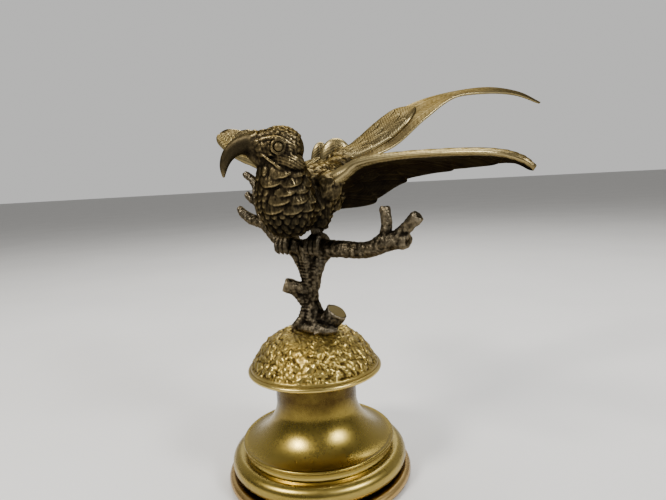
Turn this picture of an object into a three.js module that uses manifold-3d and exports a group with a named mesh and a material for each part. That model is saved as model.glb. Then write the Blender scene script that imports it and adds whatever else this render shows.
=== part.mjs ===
// Hood ornament: a cast bird with spread wings on a branch, on a turned brass pedestal.
// Millimetres, +Z up, origin at the centre of the flat underside. The bird faces -Y, its left is +X.
import * as THREE from 'three';
import { mergeVertices } from 'three/addons/utils/BufferGeometryUtils.js';
import Module from 'manifold-3d';

const wasm = await Module();
wasm.setup();

// ---- driving dimensions ----
const gap = 0.3;               // between touching pieces
const flangeRadius = 40;
const flangeHeight = 4.5;
const torusRadius = 38;
const torusHeight = 8.4;
const waistRadius = 33;        // dished rim under the neck
const waistHeight = 33;
const neckRadius = 17.5;
const capRadius = 28.9;
const capRise = 16;
const capWall = 2.6;
const trunkHeight = 35;        // top of the cap to the perch's axis
const perchRadius = 3.5;
const perchReach = 51;         // trunk to the end of the longer limb
const bodyLength = 48;         // breast to rump
const wingReach = 80;          // wing root to wing tip
const wingRise = 21;           // degrees the right wing is held above the left
const tailLength = 130;
const studRadius = 2.5;
const pinRadius = 1.5;
const turnedSegments = 36;

// ---- heights that follow from them ----
const torusBase = flangeHeight + gap;
const waistBase = torusBase + torusHeight + gap;
const waistTop = waistBase + waistHeight;
const capBase = waistTop + gap;
const capTop = capBase + capRise + 2.2;
const perchZ = capTop + trunkHeight;
const k = bodyLength / 48;

const v = (x, y, z) => new THREE.Vector3(x, y, z);
const bird = (x, y, z) => v(x * k, y * k, perchZ + z * k);

// ---- geometry helpers ----
function toSolid(geometry) {
  const bare = geometry.clone();
  bare.deleteAttribute('normal');
  bare.deleteAttribute('uv');
  const merged = mergeVertices(bare, 1e-4);
  const index = merged.index.array;
  const corners = [];
  for (let i = 0; i < index.length; i += 3) {
    const [a, b, c] = [index[i], index[i + 1], index[i + 2]];
    if (a !== b && b !== c && c !== a) corners.push(a, b, c);
  }
  if (signedVolume(merged, corners) < 0) corners.reverse();
  return new wasm.Manifold(new wasm.Mesh({
    numProp: 3,
    vertProperties: new Float32Array(merged.attributes.position.array),
    triVerts: new Uint32Array(corners),
  }));
}

function signedVolume(geometry, corners) {
  const at = (i) => new THREE.Vector3().fromBufferAttribute(geometry.attributes.position, i);
  let sum = 0;
  for (let i = 0; i < corners.length; i += 3) {
    sum += at(corners[i]).dot(at(corners[i + 1]).cross(at(corners[i + 2])));
  }
  return sum / 6;
}

function toGeometry(solid) {
  const mesh = solid.getMesh();
  const geometry = new THREE.BufferGeometry();
  geometry.setAttribute('position', new THREE.BufferAttribute(new Float32Array(mesh.vertProperties), 3));
  geometry.setIndex(new THREE.BufferAttribute(new Uint32Array(mesh.triVerts), 1));
  geometry.computeVertexNormals();
  return geometry;
}

// Profile points are [radius, height]; the profile is closed or starts and ends on the axis.
function turned(profile, relief) {
  const points = profile.map(([r, z]) => new THREE.Vector2(Math.max(r, 0), z));
  const geometry = new THREE.LatheGeometry(points, turnedSegments);
  geometry.rotateX(Math.PI / 2);
  if (relief) moveVertices(geometry, relief);
  return toSolid(geometry);
}

function moveVertices(geometry, move) {
  const position = geometry.attributes.position;
  const point = new THREE.Vector3();
  for (let i = 0; i < position.count; i += 1) {
    point.fromBufferAttribute(position, i);
    move(point);
    position.setXYZ(i, point.x, point.y, point.z);
  }
}

const between = (list, t) => {
  const place = Math.min(Math.max(t, 0), 1) * (list.length - 1);
  const low = Math.min(Math.floor(place), list.length - 2);
  return THREE.MathUtils.lerp(list[low], list[low + 1], place - low);
};

// A round or oval bar along a smooth path. wide runs along the side vector, tall across it.
function sweep(path, wide, { tall = wide, side = v(0, 1, 0), around = 8, rows = 6, grow = 0 } = {}) {
  const curve = new THREE.CatmullRomCurve3(path);
  const geometry = new THREE.CylinderGeometry(1, 1, 1, around, rows);
  moveVertices(geometry, (p) => {
    const t = Math.min(Math.max(p.y + 0.5, 0), 1);
    const along = curve.getTangent(t);
    const across = side.clone().addScaledVector(along, -side.dot(along)).normalize();
    const up = along.clone().cross(across);
    const centre = curve.getPoint(t);
    const ends = Math.abs(p.y) > 0.499 ? Math.sign(p.y) * grow : 0;
    centre.addScaledVector(along, ends);
    centre.addScaledVector(across, p.x * (between(wide, t) + grow));
    centre.addScaledVector(up, p.z * (between(tall, t) + grow));
    p.copy(centre);
  });
  return toSolid(geometry);
}

function ball(centre, [rx, ry, rz], { turn = 0, tilt = 0, around = 15, rows = 9, grow = 0 } = {}) {
  const geometry = new THREE.SphereGeometry(1, around, rows);
  geometry.rotateX(Math.PI / 2);
  geometry.scale(rx + grow, ry + grow, rz + grow);
  geometry.rotateX(tilt);
  geometry.rotateZ(turn);
  geometry.translate(centre.x, centre.y, centre.z);
  return toSolid(geometry);
}

const bar = (from, to, radius, grow = 0) =>
  sweep([from, from.clone().lerp(to, 0.5), to], [radius, radius], { side: v(0.3, 1, 0.2), around: 12, rows: 1, grow });

const joinAll = (solids) => solids.reduce((whole, piece) => whole.add(piece));

// A feathered plate between a leading and a trailing edge, with rounded feather ends on the trailing edge.
function plate({ lead, trail, feathers, notch, camber, thick, thin, chordRows = 3, grow = 0 }) {
  const leadCurve = new THREE.CatmullRomCurve3(lead);
  const trailCurve = new THREE.CatmullRomCurve3(trail);
  const geometry = new THREE.BoxGeometry(1, 1, 1, feathers * 3, chordRows, 1);
  moveVertices(geometry, (p) => {
    const u = p.x + 0.5;
    const w = p.y + 0.5;
    const a = leadCurve.getPoint(u);
    const chord = trailCurve.getPoint(u).sub(a);
    const face = leadCurve.getTangent(u).cross(chord).normalize();
    const lobe = Math.sqrt(Math.abs(Math.sin(Math.PI * (u * feathers + 0.5))));
    const reach = w * (1 - notch * (1 - lobe));
    const swell = Math.sin(Math.PI * Math.min(w, 1)) * camber * chord.length();
    const half = THREE.MathUtils.lerp(between(thick, u), thin, w ** 0.7) / 2;
    a.addScaledVector(chord, reach);
    a.addScaledVector(face, swell + Math.sign(p.z) * (half + grow));
    p.copy(a);
  });
  return toSolid(geometry);
}

// ---- turned base ----
const boreRadius = studRadius + gap;
const bossRadius = studRadius * 3.4;
const bossTop = torusBase + torusHeight * 0.9;
const innerFloor = flangeHeight * 0.55;

function footPlate() {
  return turned([
    [0, 0], [flangeRadius - 1.4, 0], [flangeRadius - 0.3, 0.9], [flangeRadius, flangeHeight * 0.55],
    [flangeRadius - 0.4, flangeHeight - 1], [flangeRadius - 1.4, flangeHeight], [bossRadius, flangeHeight],
    [bossRadius, bossTop], [boreRadius, bossTop], [boreRadius, innerFloor], [0, innerFloor],
  ]);
}

function torusRing() {
  const belly = [];
  const middle = torusHeight / 2;
  for (let step = 0; step <= 10; step += 1) {
    const angle = -Math.PI / 2 + (Math.PI * step) / 10;
    belly.push([torusRadius - middle + middle * Math.cos(angle), torusBase + middle + middle * Math.sin(angle)]);
  }
  const bore = waistRadius - 7;
  const top = torusBase + torusHeight;
  return turned([[bore, torusBase], ...belly, [bore, top], [bore, torusBase]]);
}

function waistPedestal() {
  const rimZ = waistBase + waistHeight * 0.12;
  const neckZ = waistBase + waistHeight * 0.62;
  const dish = waistRadius - 1.6;
  const scoop = [];
  for (let step = 1; step <= 7; step += 1) {
    const angle = (Math.PI / 2) * (step / 7);
    const r = dish - (dish - neckRadius) * Math.sin(angle);
    scoop.push([r, rimZ + (neckZ - rimZ) * (1 - Math.cos(angle)) ** 0.8]);
  }
  const outer = [
    [waistRadius - 0.5, waistBase], [waistRadius - 0.5, rimZ - 1], [waistRadius, rimZ - 0.5],
    [waistRadius, rimZ], [waistRadius - 0.8, rimZ + 0.3], [dish, rimZ],
    ...scoop, [neckRadius, waistTop - 1], [neckRadius, waistTop],
  ];
  const web = waistTop - 3.2;
  const innerNeck = neckRadius - 3.2;
  const innerFoot = waistRadius - 8;
  const inner = [
    [boreRadius, waistTop], [boreRadius, web], [innerNeck, web], [innerNeck, neckZ - 4],
    [innerNeck + 4, rimZ + 2.6], [innerFoot, rimZ - 1.5], [innerFoot, waistBase],
  ];
  return turned([...outer, ...inner, outer[0]]);
}

// ---- domed cap ----
const seatRadius = neckRadius - 4.5;
const domeFlat = capRadius * 0.34;
const domeProfile = (grow) => {
  const rimZ = capBase + 2.2;
  const points = [];
  for (let step = 0; step <= 8; step += 1) {
    const angle = (Math.PI / 2) * (step / 8);
    const r = domeFlat + (capRadius - 0.7 - domeFlat) * Math.cos(angle) ** 1.02;
    points.push([r + grow, rimZ + capRise * Math.sin(angle) ** 1.22 + grow]);
  }
  return points;
};

// Low lumps and hollows like broken rock; the front is left smooth.
function rockRelief(point) {
  const r = Math.hypot(point.x, point.y);
  const height = point.z - capBase - 2.4;
  if (height < 0.4 || r < domeFlat || r > capRadius - 1) return;
  const angle = Math.atan2(point.y, point.x);
  const lump = 0.45 * Math.sin(7 * angle + height) + 0.35 * Math.sin(11 * angle - 0.9 * height);
  const swell = 1 + lump / r;
  point.x *= swell;
  point.y *= swell;
}

function moundCap() {
  const outer = [[neckRadius - 0.4, capBase], [capRadius - 2.5, capBase + 0.5], [capRadius, capBase + 1.3]];
  const dome = domeProfile(0);
  const roof = capTop - capWall;
  const inner = [
    [boreRadius, roof], [domeFlat - 1, roof], [capRadius * 0.62, roof - capRise * 0.22],
    [capRadius - capWall - 2.2, capBase + 4.6], [seatRadius + 2, capBase + 2.6], [seatRadius, capBase + 2.2],
    [seatRadius, capBase],
  ];
  return turned([...outer, ...dome, [boreRadius, capTop], ...inner, outer[0]], rockRelief);
}

const domeBlank = (grow) => turned([[0, capBase], [capRadius, capBase], ...domeProfile(grow), [0, capTop + grow]], rockRelief);

// ---- stud, washer and nut ----
const studTop = capTop + 8;
const washerRadius = seatRadius - 1.8;
const washerThickness = 1.8;
const nutHeight = 4.2;

const tieStud = () => bar(v(0, 0, innerFloor + gap), v(0, 0, studTop), studRadius);

function clampWasher() {
  const low = waistTop + gap;
  const high = low + washerThickness;
  return turned([[boreRadius, low], [washerRadius, low], [washerRadius, high], [boreRadius, high], [boreRadius, low]]);
}

function clampNut() {
  const low = waistTop + gap * 2 + washerThickness;
  const geometry = new THREE.CylinderGeometry(studRadius * 1.85, studRadius * 1.85, nutHeight, 6);
  geometry.rotateX(Math.PI / 2);
  geometry.translate(0, 0, low + nutHeight / 2);
  const hole = bar(v(0, 0, low - 1), v(0, 0, low + nutHeight + 1), boreRadius);
  return toSolid(geometry).subtract(hole);
}

// ---- branch ----
const limb = (x) => (x / 51) * perchReach;
const trunk = (x, y, share) => v(x, y, capTop + trunkHeight * share);
const off = (x, y, z) => v(limb(x), y, perchZ + z);
const barkRadii = (list) => list.map((r) => (r / 3.5) * perchRadius);

function branchSolid(grow) {
  const up = { grow, side: v(0, 1, 0) };
  const pieces = [
    sweep([trunk(0, 0, -0.02), trunk(-0.6, 0, 0.25), trunk(0, 0, 0.52), trunk(0.4, 0, 0.75), trunk(1, 0, 1.02)],
      barkRadii([6.2, 5.2, 3.8, 4, 6]), up),
    sweep([off(-3, 0, -1), off(8, 0, 0), off(18, 0, 0.1), off(31, 0, 0.4), off(40, 0, 4.2), off(49.6, 0, 4.8)],
      barkRadii([4.6, 3.7, 3.4, 3.2, 3.4, 3.1]), { ...up, rows: 10 }),
    sweep([off(40, 0, 4), off(41.2, 0, 10), off(40.8, 0, 16.6)], barkRadii([2.6, 2.0, 2.3]), up),
    sweep([off(44, 0, 4.6), off(49, 0, 8.6), off(54.2, 0, 12.8)], barkRadii([2.6, 2.2, 2.6]), up),
    sweep([off(4, 0, -0.6), off(-8, 0, 0), off(-17, 0, 2.6), off(-27, 0, 9.6), off(-37, 0, 12), off(-45, 0, 16.4)],
      barkRadii([4.6, 3.6, 3.2, 2.7, 2.5, 1.9]), { ...up, rows: 10 }),
    sweep([off(-27, 0, 9.6), off(-32, 1, 20), off(-35, 2, 29), off(-41, 2, 33)], barkRadii([2.3, 2.0, 1.9, 1.8]), up),
    sweep([off(-32, 1, 19), off(-36, 1, 21), off(-39.5, 1, 23.4)], barkRadii([1.9, 1.8, 1.9]), up),
    sweep([trunk(0, 0, 0.5), trunk(-4, -3.6, 0.51), trunk(-8.2, -7.2, 0.53)], barkRadii([3.4, 3.3, 3.1]), up),
    sweep([trunk(1, 0, 0.04), trunk(6.5, 1, 0.1), trunk(13.4, 3, 0.21)], barkRadii([4.2, 4, 3.9]), up),
  ];
  const rootCount = 5;
  for (let root = 0; root < rootCount; root += 1) {
    const angle = 0.5 + (root * 2 * Math.PI) / rootCount;
    const out = (r, share) => trunk(r * Math.cos(angle), r * Math.sin(angle), share);
    pieces.push(sweep([out(1, 0.2), out(5.5, 0.08), out(10, 0.01)], barkRadii([3, 2.6, 1.6]), { ...up, side: v(0, 0, 1) }));
  }
  return joinAll(pieces);
}

function branch() {
  const tapped = bar(v(0, 0, capTop - 4), v(0, 0, studTop + gap), boreRadius);
  return branchSolid(0).subtract(domeBlank(gap)).subtract(tapped);
}

// ---- bird ----
const headCentre = bird(8.3, -20, 40);
const headTurn = -0.84;
const eyeRadius = 2.1 * k;
const eyeSpot = (side) => {
  const across = v(Math.cos(headTurn + 0.1), Math.sin(headTurn + 0.1), 0);
  return headCentre.clone().add(bird(-0.5, -0.3, 0.2).sub(bird(0, 0, 0))).addScaledVector(across, side * 7 * k);
};
const wingPins = {
  left: [bird(8, 3.5, 21.4), bird(16.5, 3.6, 27.9)],
  right: [bird(-8, 4, 28), bird(-16.5, 4, 31.6)],
};
const tailPin = [bird(-1, 15, 31.5), bird(1.2, 33, 40)];
const scaled = (list) => list.map((r) => r * k);

const footPlaces = { left: 7, right: -11 };
const thigh = (x, grow) =>
  sweep([bird(x * 0.8, 2, 18), bird(x * 0.9, 0, 12), bird(x, -1, 7.4)], scaled([6.6, 5.4, 3.2]), { grow, rows: 4 });

function bodySolid(grow) {
  return joinAll([
    ball(bird(1, 2.5, 22), scaled([13, 23.5, 12.6]), { tilt: 0.42, around: 18, rows: 12, grow }),
    sweep([bird(3, -9, 13), bird(4, -15, 19), bird(5.6, -18, 29), bird(7.6, -19.5, 39)],
      scaled([10.5, 13.2, 11.6, 8.6]), { side: v(1, 0, 0), around: 15, rows: 6, grow }),
    ...Object.values(footPlaces).map((x) => thigh(x, grow)),
    ball(headCentre, scaled([8, 9.6, 8.8]), { turn: headTurn, grow }),
  ]);
}

function beak() {
  const path = [bird(4.5, -24, 41.6), bird(-0.6, -28.6, 43), bird(-4.8, -32.6, 40), bird(-6.8, -34.4, 36), bird(-7.2, -34.8, 31.4)];
  return sweep(path, scaled([5.6, 4, 2.9, 1.9, 0.5]), { side: v(0.67, -0.74, 0), around: 10, rows: 8 });
}

function footSolid(x, grow) {
  const axis = (y, z) => v(0, y, perchZ + z);
  const ring = perchRadius * 1.06 + 1.35 * k;
  const onRing = (spread, degrees) => {
    const angle = THREE.MathUtils.degToRad(degrees);
    return axis(ring * Math.sin(angle), ring * Math.cos(angle)).setX(x * k + spread * k);
  };
  const pieces = [
    sweep([v(x * k, -0.8 * k, perchZ + ring - 1), v(x * 0.92 * k, -1.6 * k, perchZ + ring + 3 * k),
      v(x * 0.8 * k, -2 * k, perchZ + ring + 9 * k)], scaled([2.3, 2.1, 1.7]), { grow, rows: 4 }),
  ];
  for (const spread of [-1, 0, 1]) {
    const fan = [0.5, 2.1, 2.9, 2.7].map((s) => s * spread);
    pieces.push(sweep([onRing(fan[0], 4), onRing(fan[1], -42), onRing(fan[2], -86), onRing(fan[3], -128)],
      scaled([1.7, 1.55, 1.4, 0.6]), { side: v(1, 0, 0), around: 6, grow }));
  }
  pieces.push(sweep([onRing(0, -4), onRing(0.4, 45), onRing(0.6, 105)], scaled([1.6, 1.4, 0.6]),
    { side: v(1, 0, 0), rows: 4, around: 6, grow }));
  return joinAll(pieces);
}

function foot(x) {
  return footSolid(x, 0).subtract(branchSolid(gap));
}

function birdBody() {
  let body = bodySolid(0).add(beak());
  for (const side of [1, -1]) body = body.subtract(ball(eyeSpot(side), scaled([2.1, 2.1, 2.1]), { grow: gap }));
  for (const x of Object.values(footPlaces)) body = body.subtract(footSolid(x, gap));
  for (const [from, to] of [wingPins.left, wingPins.right, tailPin]) {
    body = body.subtract(bar(from, to, pinRadius * k, gap));
  }
  return body.subtract(branchSolid(gap));
}

const eye = (side) => ball(eyeSpot(side), [eyeRadius, eyeRadius, eyeRadius], { around: 14, rows: 10 });

// ---- wings: the left one is level, the right one is raised with its front edge turned down ----
const wingPoint = ([x, y, z], side, rise) => {
  const outboard = Math.max(x - 12, 0);
  const lift = outboard * Math.tan(THREE.MathUtils.degToRad(rise));
  return bird(side * (x + outboard * (wingReach / 80 - 1)), y, z + lift * (wingReach / 80));
};

const wingShapes = {
  left: {
    side: 1,
    rise: 0,
    lead: [[11, -3, 26], [19, 1, 30.5], [27, 2.5, 34], [45, 3.5, 35], [65, 4.5, 34.5], [80, 6, 33.2],
      [87.5, 8.5, 30.6], [91, 11, 27.6]],
    trail: [[7, 24, 16], [14, 31, 18.5], [26, 34, 24.8], [40, 35, 28.2], [54, 32, 29.2], [68, 27, 30],
      [80, 21, 30.2], [89, 14.5, 27]],
  },
  right: {
    side: -1,
    rise: wingRise,
    lead: [[11, -3, 27], [20, 0, 27.4], [34, 1.5, 28.1], [50, 3, 27.4], [62, 6, 27.3], [70, 9, 27.5],
      [74.5, 11.5, 28], [76.5, 13, 28.7]],
    trail: [[7, 22, 37], [3.2, 27.6, 46], [10.5, 28.4, 46.8], [17, 23, 33], [36, 27, 34.4], [52, 29, 37.6],
      [66, 25, 36.4], [76, 18, 33.4]],
  },
};

function wingSolid({ side, rise, lead, trail }, grow = 0) {
  return plate({
    lead: lead.map((p) => wingPoint(p, side, rise)),
    trail: trail.map((p) => wingPoint(p, side, rise)),
    feathers: 10,
    notch: 0.09,
    camber: side * 0.07,
    thick: scaled([9, 6.4, 3.8, 3.2, 3, 2.8, 2.4, 1.8]),
    thin: 1.1 * k,
    grow,
  });
}

function wing(shape, pin) {
  return wingSolid(shape).subtract(bodySolid(gap)).subtract(tailSolid(gap)).subtract(bar(...pin, pinRadius * k, gap));
}

// ---- tail ----
const tailPoint = ([x, y, z]) => {
  const stretch = tailLength / 130;
  return bird(x * stretch, 24 + (y - 24) * stretch, 37 + (z - 37) * stretch);
};
const tailTop = [[-5, 24, 38], [-2, 33, 40.4], [4, 46, 50.6], [11, 60, 60.6], [20, 78, 66.8], [33, 101, 70.6], [43, 119, 68.8],
  [50, 132, 63.6]];
const tailUnder = [[2, 21, 33], [9, 29, 36], [17, 43, 42], [25, 56, 53.6], [32, 71, 63.4], [40, 87, 65.8], [46.4, 107, 66],
  [50.6, 130, 62.8]];

function tailSolid(grow = 0) {
  return plate({
    lead: tailTop.map(tailPoint),
    trail: tailUnder.map(tailPoint),
    feathers: 8,
    notch: 0.06,
    camber: 0.05,
    thick: scaled([7.5, 6, 4.2, 3, 2.6, 2.4, 2, 1.4]),
    thin: 1.3 * k,
    grow,
  });
}

const tail = () => tailSolid().subtract(bodySolid(gap)).subtract(bar(...tailPin, pinRadius * k, gap));
const dowel = ([from, to]) => bar(from, to, pinRadius * k);

// ---- finishes ----
const finish = (color, roughness) => new THREE.MeshStandardMaterial({ color, roughness, metalness: 1 });
const turnedBrass = () => finish(0x9c8345, 0.34);
const flangeBrass = () => finish(0xa27a42, 0.36);
const castBrass = () => finish(0x8f7c45, 0.45);
const darkBronze = () => finish(0x5a4a30, 0.5);
const wingBronze = () => finish(0x6e6244, 0.46);
const barkBronze = () => finish(0x4d4334, 0.52);
const steel = () => finish(0x8a8d90, 0.4);

// ---- assembly ----
const group = new THREE.Group();
function place(name, solid, material) {
  const mesh = new THREE.Mesh(toGeometry(solid), material);
  mesh.name = name;
  group.add(mesh);
}

place('foot_plate', footPlate(), flangeBrass());
place('torus_ring', torusRing(), turnedBrass());
place('waist_pedestal', waistPedestal(), turnedBrass());
place('mound_cap', moundCap(), castBrass());
place('tie_stud', tieStud(), steel());
place('clamp_washer', clampWasher(), steel());
place('clamp_nut', clampNut(), steel());
place('branch', branch(), barkBronze());
place('bird_body', birdBody(), darkBronze());
place('left_eye', eye(1), darkBronze());
place('right_eye', eye(-1), darkBronze());
place('left_foot', foot(footPlaces.left), barkBronze());
place('right_foot', foot(footPlaces.right), barkBronze());
place('left_wing', wing(wingShapes.left, wingPins.left), wingBronze());
place('right_wing', wing(wingShapes.right, wingPins.right), wingBronze());
place('tail', tail(), wingBronze());
place('left_wing_pin', dowel(wingPins.left), steel());
place('right_wing_pin', dowel(wingPins.right), steel());
place('tail_pin', dowel(tailPin), steel());

export default group;
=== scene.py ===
"""Looks of a cast hood ornament: a bird on a branch, over a rocky cap on a turned brass pedestal."""
import math

import bpy
import numpy as np
from mathutils import Matrix, Vector, noise
from mathutils.bvhtree import BVHTree


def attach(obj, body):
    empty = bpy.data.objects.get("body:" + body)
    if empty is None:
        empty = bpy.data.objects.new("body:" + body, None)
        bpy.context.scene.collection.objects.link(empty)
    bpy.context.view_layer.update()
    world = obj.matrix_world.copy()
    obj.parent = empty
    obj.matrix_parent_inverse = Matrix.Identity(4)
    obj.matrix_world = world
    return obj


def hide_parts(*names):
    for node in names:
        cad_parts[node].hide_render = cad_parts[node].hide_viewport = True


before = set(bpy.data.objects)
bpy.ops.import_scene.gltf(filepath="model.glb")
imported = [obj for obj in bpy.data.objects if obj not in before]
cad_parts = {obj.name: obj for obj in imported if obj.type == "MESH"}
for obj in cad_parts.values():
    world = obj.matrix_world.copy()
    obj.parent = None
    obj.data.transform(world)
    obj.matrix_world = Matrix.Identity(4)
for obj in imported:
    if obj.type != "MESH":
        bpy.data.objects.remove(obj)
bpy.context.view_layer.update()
MM = 0.001

# ------------------------------------------------------------------ camera
HEADING = math.radians(48.0)      # turn of the view about the pedestal
PITCH = math.radians(7.5)         # looking slightly down
ROLL = math.radians(3.0)
EYE = Vector((0.1486, -0.1493, 0.126))
LENS = 27.03

ahead = Vector((-math.cos(HEADING), math.sin(HEADING), 0))
right = Vector((math.sin(HEADING), math.cos(HEADING), 0))
look = ahead * math.cos(PITCH) - Vector((0, 0, math.sin(PITCH)))
top = right.cross(look)
cam_x = right * math.cos(ROLL) - top * math.sin(ROLL)
cam_y = right * math.sin(ROLL) + top * math.cos(ROLL)
bpy.ops.object.camera_add(location=EYE)
camera = bpy.context.object
camera.name = "camera"
camera.matrix_world = Matrix.Translation(EYE) @ Matrix((cam_x, cam_y, -look)).transposed().to_4x4()
camera.data.lens = LENS
camera.data.clip_start = 0.005
bpy.context.scene.camera = camera


# ------------------------------------------------------------------ materials
class Nodes:
    """Short names for adding and joining shader nodes."""

    def __init__(self, name):
        self.material = bpy.data.materials.new(name)
        self.material.use_nodes = True
        self.tree = self.material.node_tree
        self.shader = self.tree.nodes["Principled BSDF"]

    def add(self, kind, **values):
        node = self.tree.nodes.new(kind)
        for key, value in values.items():
            if key in node.inputs:
                node.inputs[key].default_value = value
            else:
                setattr(node, key, value)
        return node

    def join(self, out, into):
        self.tree.links.new(out, into)

    def ramp(self, source, stops):
        node = self.add("ShaderNodeValToRGB")
        marks = node.color_ramp.elements
        while len(marks) < len(stops):
            marks.new(0.5)
        for mark, (place, colour) in zip(marks, stops):
            mark.position = place
            mark.color = (*colour, 1) if len(colour) == 3 else colour
        self.join(source, node.inputs["Fac"])
        return node.outputs["Color"]

    def noise(self, scale, detail=4.0, rough=0.6):
        node = self.add("ShaderNodeTexNoise", Scale=scale, Detail=detail, Roughness=rough)
        self.join(self.place(), node.inputs["Vector"])
        return node.outputs["Fac"]

    def place(self):
        if not hasattr(self, "coords"):
            self.coords = self.add("ShaderNodeTexCoord").outputs["Object"]
        return self.coords

    def mix(self, share, first, second, blend="MIX"):
        node = self.add("ShaderNodeMix", data_type="RGBA", blend_type=blend)
        for value, index in ((share, 0), (first, 6), (second, 7)):
            if isinstance(value, (int, float)):
                node.inputs[index].default_value = value
            elif isinstance(value, tuple):
                node.inputs[index].default_value = (*value, 1)
            else:
                self.join(value, node.inputs[index])
        return node.outputs[2]

    def math(self, kind, first, second, clamp=False):
        node = self.add("ShaderNodeMath", operation=kind, use_clamp=clamp)
        for value, index in ((first, 0), (second, 1)):
            if isinstance(value, (int, float)):
                node.inputs[index].default_value = value
            else:
                self.join(value, node.inputs[index])
        return node.outputs[0]

    def bump(self, height, strength, distance):
        node = self.add("ShaderNodeBump", Strength=strength, Distance=distance)
        self.join(height, node.inputs["Height"])
        self.join(node.outputs["Normal"], self.shader.inputs["Normal"])


def grey(value):
    return (value, value, value)


def cast_metal(name, hollow, body, worn, rough=(0.62, 0.46, 0.28), grain=2600, contrast=1.0, age=0.5, beads=0,
               mottle=0.36,
               edge=(0.5, 0.46, 0.40), blend=0.4):
    """Cast brass or bronze: dark in the hollows, rubbed bright on what stands proud, and darkened and
    roughened with painted shade where a piece marks it.
    """
    m = Nodes(name)
    relief = m.add("ShaderNodeAttribute", attribute_name="relief").outputs["Fac"]
    # the second attribute is painted shade, marked on the bird and on the wing undersides
    painted_shade = m.add("ShaderNodeAttribute", attribute_name="painted_shade").outputs["Fac"]
    blotch = m.noise(130, 5)
    speck = m.noise(1100, 3)
    wander = m.math("MULTIPLY", m.math("SUBTRACT", blotch, 0.5), mottle)
    dust = m.math("MULTIPLY", m.math("SUBTRACT", speck, 0.5), mottle * 0.3)
    proud = m.math("ADD", m.math("MULTIPLY", m.math("SUBTRACT", relief, 0.5), contrast), 0.5)
    level = m.math("ADD", m.math("ADD", proud, wander), dust, clamp=True)
    half = tuple((1 - blend) * b + blend * w for b, w in zip(body, worn))
    colour = m.ramp(level, [(0.20, hollow), (0.46, body), (0.66, half), (0.95, worn)])
    warm = m.ramp(m.noise(55, 3), [(0.35, (0.80, 0.82, 0.86)), (0.7, (1.15, 1.05, 0.86))])
    toned = m.mix(age, colour, warm, "MULTIPLY")
    # painted shade: where a piece is marked, the colour is pulled towards a dark hollow tone and the surface
    # is made rougher
    shade_amount = m.math("MULTIPLY", painted_shade, m.math("ADD", m.math("MULTIPLY", blotch, 0.5), 0.7), clamp=True)
    m.join(m.mix(shade_amount, toned, tuple(0.55 * v + 0.002 for v in hollow)), m.shader.inputs["Base Color"])
    shine = m.ramp(level, [(0.25, grey(rough[0])), (0.5, grey(rough[1])), (0.85, grey(rough[2]))])
    m.join(m.math("ADD", shine, m.math("MULTIPLY", shade_amount, 0.3), clamp=True), m.shader.inputs["Roughness"])
    m.shader.inputs["Metallic"].default_value = 1.0
    m.shader.inputs["Specular Tint"].default_value = (*edge, 1)
    texture = m.noise(grain, 4)
    if beads:
        cell = m.add("ShaderNodeTexVoronoi", Scale=beads)
        m.join(m.place(), cell.inputs["Vector"])
        texture = m.math("SUBTRACT", texture, m.math("MULTIPLY", cell.outputs["Distance"], 1.4))
    m.bump(texture, 0.35 if not beads else 0.6, 0.00012 if not beads else 0.0003)
    return m.material


def turned_metal(name, body, dark, bright, rough=0.3):
    """Turned brass: faint lathe rings, handling haze, small dents of dark stain, brown in the recesses."""
    m = Nodes(name)
    relief = m.add("ShaderNodeAttribute", attribute_name="relief").outputs["Fac"]
    split = m.add("ShaderNodeSeparateXYZ")
    m.join(m.place(), split.inputs[0])
    square = m.math("ADD", m.math("MULTIPLY", split.outputs[0], split.outputs[0]),
                    m.math("MULTIPLY", split.outputs[1], split.outputs[1]))
    radius = m.math("SQRT", square, 0.0)
    profile = m.math("ADD", m.math("MULTIPLY", radius, 2300.0), m.math("MULTIPLY", split.outputs[2], 2900.0))
    rings = m.math("SINE", m.math("ADD", profile, m.math("MULTIPLY", m.noise(40, 2), 4.0)), 0.0)
    cloud = m.noise(42, 6)
    spots = m.noise(520, 4, 0.75)
    stain = m.ramp(spots, [(0.60, grey(0)), (0.74, grey(1))])
    level = m.math("ADD", relief, m.math("MULTIPLY", m.math("SUBTRACT", cloud, 0.5), 0.55), clamp=True)
    colour = m.ramp(level, [(0.16, dark), (0.42, body), (0.62, body), (0.92, bright)])
    spotted = m.mix(m.math("MULTIPLY", stain, 0.42), colour, dark)
    m.join(spotted, m.shader.inputs["Base Color"])
    haze = m.math("ADD", m.math("MULTIPLY", cloud, 0.3), m.math("MULTIPLY", m.noise(900, 3), 0.16))
    m.join(m.math("ADD", haze, rough - 0.2), m.shader.inputs["Roughness"])
    m.shader.inputs["Metallic"].default_value = 1.0
    m.shader.inputs["Anisotropic"].default_value = 0.35
    height = m.math("ADD", m.math("MULTIPLY", rings, 0.35), m.math("MULTIPLY", m.noise(1500, 3), 0.5))
    m.bump(height, 0.16, 0.00008)
    return m.material


def plain_steel(name):
    m = Nodes(name)
    m.join(m.ramp(m.noise(300, 4), [(0.3, (0.30, 0.29, 0.27)), (0.7, (0.46, 0.45, 0.43))]),
           m.shader.inputs["Base Color"])
    m.join(m.ramp(m.noise(900, 4), [(0.3, grey(0.28)), (0.7, grey(0.45))]), m.shader.inputs["Roughness"])
    m.shader.inputs["Metallic"].default_value = 1.0
    m.bump(m.noise(2500, 2), 0.2, 0.00005)
    return m.material


def floor_paper(name):
    m = Nodes(name)
    m.join(m.ramp(m.noise(6, 2), [(0.3, (0.70, 0.69, 0.67)), (0.7, (0.74, 0.73, 0.71))]),
           m.shader.inputs["Base Color"])
    m.shader.inputs["Roughness"].default_value = 0.75
    m.bump(m.noise(900, 3), 0.1, 0.0001)
    return m.material


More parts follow.
